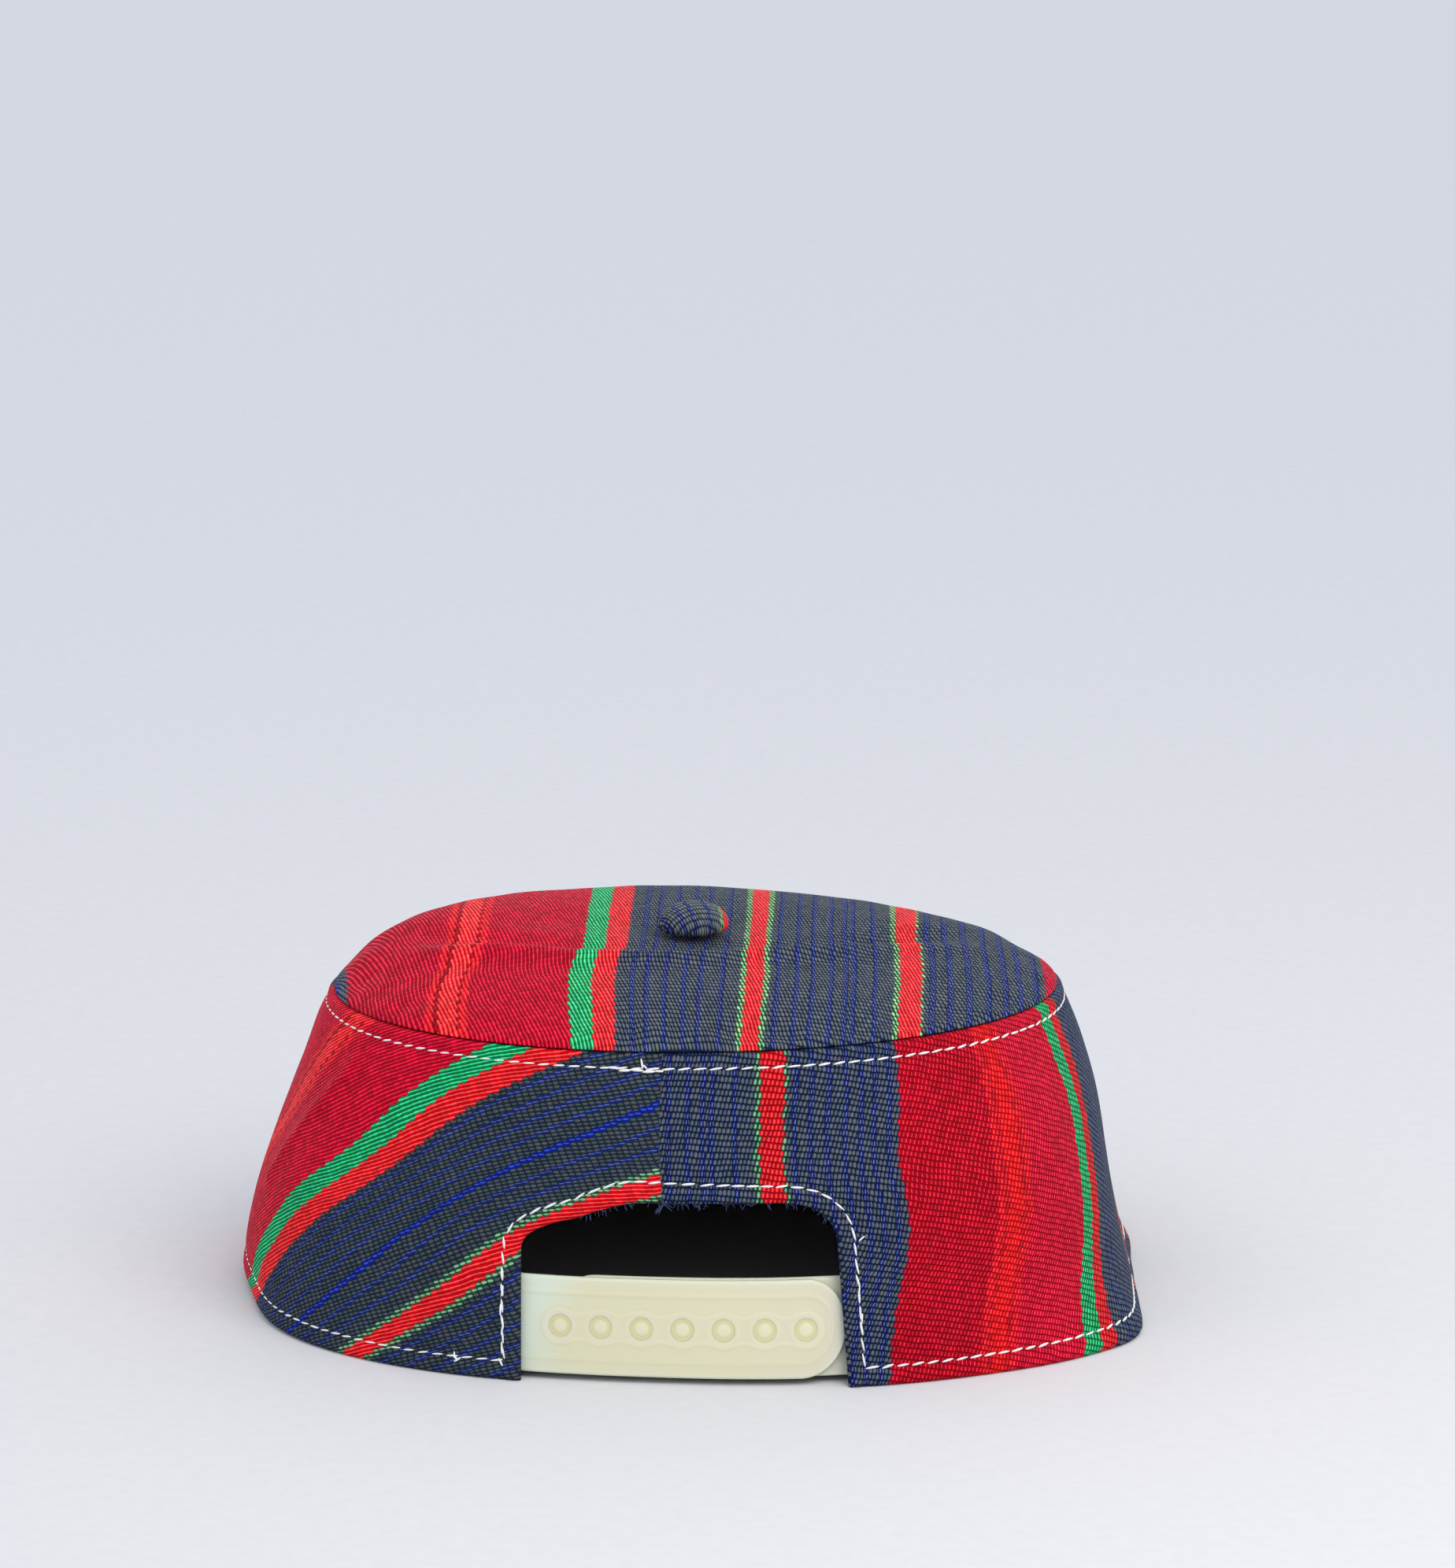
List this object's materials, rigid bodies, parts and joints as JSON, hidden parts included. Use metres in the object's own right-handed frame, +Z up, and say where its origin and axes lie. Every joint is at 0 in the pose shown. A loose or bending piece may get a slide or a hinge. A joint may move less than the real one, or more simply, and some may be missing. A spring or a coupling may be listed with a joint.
{
  "type": "pillbox hat",
  "caption": "Aso oke pillbox hat: striped woven side band and domed top panel, covered button, and a moulded snap strap across an arched opening at the back.",
  "frame": {"origin": "middle of the hat's box, on the surface that its rim rests on", "axes": "+Z up, -Y out of the back of the hat where the strap opening is, +X to the right seen from the back"},
  "size_m": [0.1858, 0.1684, 0.0775],
  "materials": {
    "band_cloth": "warp-faced striped cotton weave in crimson, navy, red and green, matt",
    "panel_cloth": "the same striped cloth, mostly navy with blue pinstripes, matt",
    "button_cloth": "navy striped cloth stretched over a button, matt",
    "snap_plastic": "translucent ivory moulded plastic, satin"
  },
  "bodies": {
    "root": {"side_band": "band_cloth", "top_panel": "panel_cloth", "top_button": "button_cloth", "strap_outer": "snap_plastic", "strap_inner": "snap_plastic"}
  },
  "joints": []
}
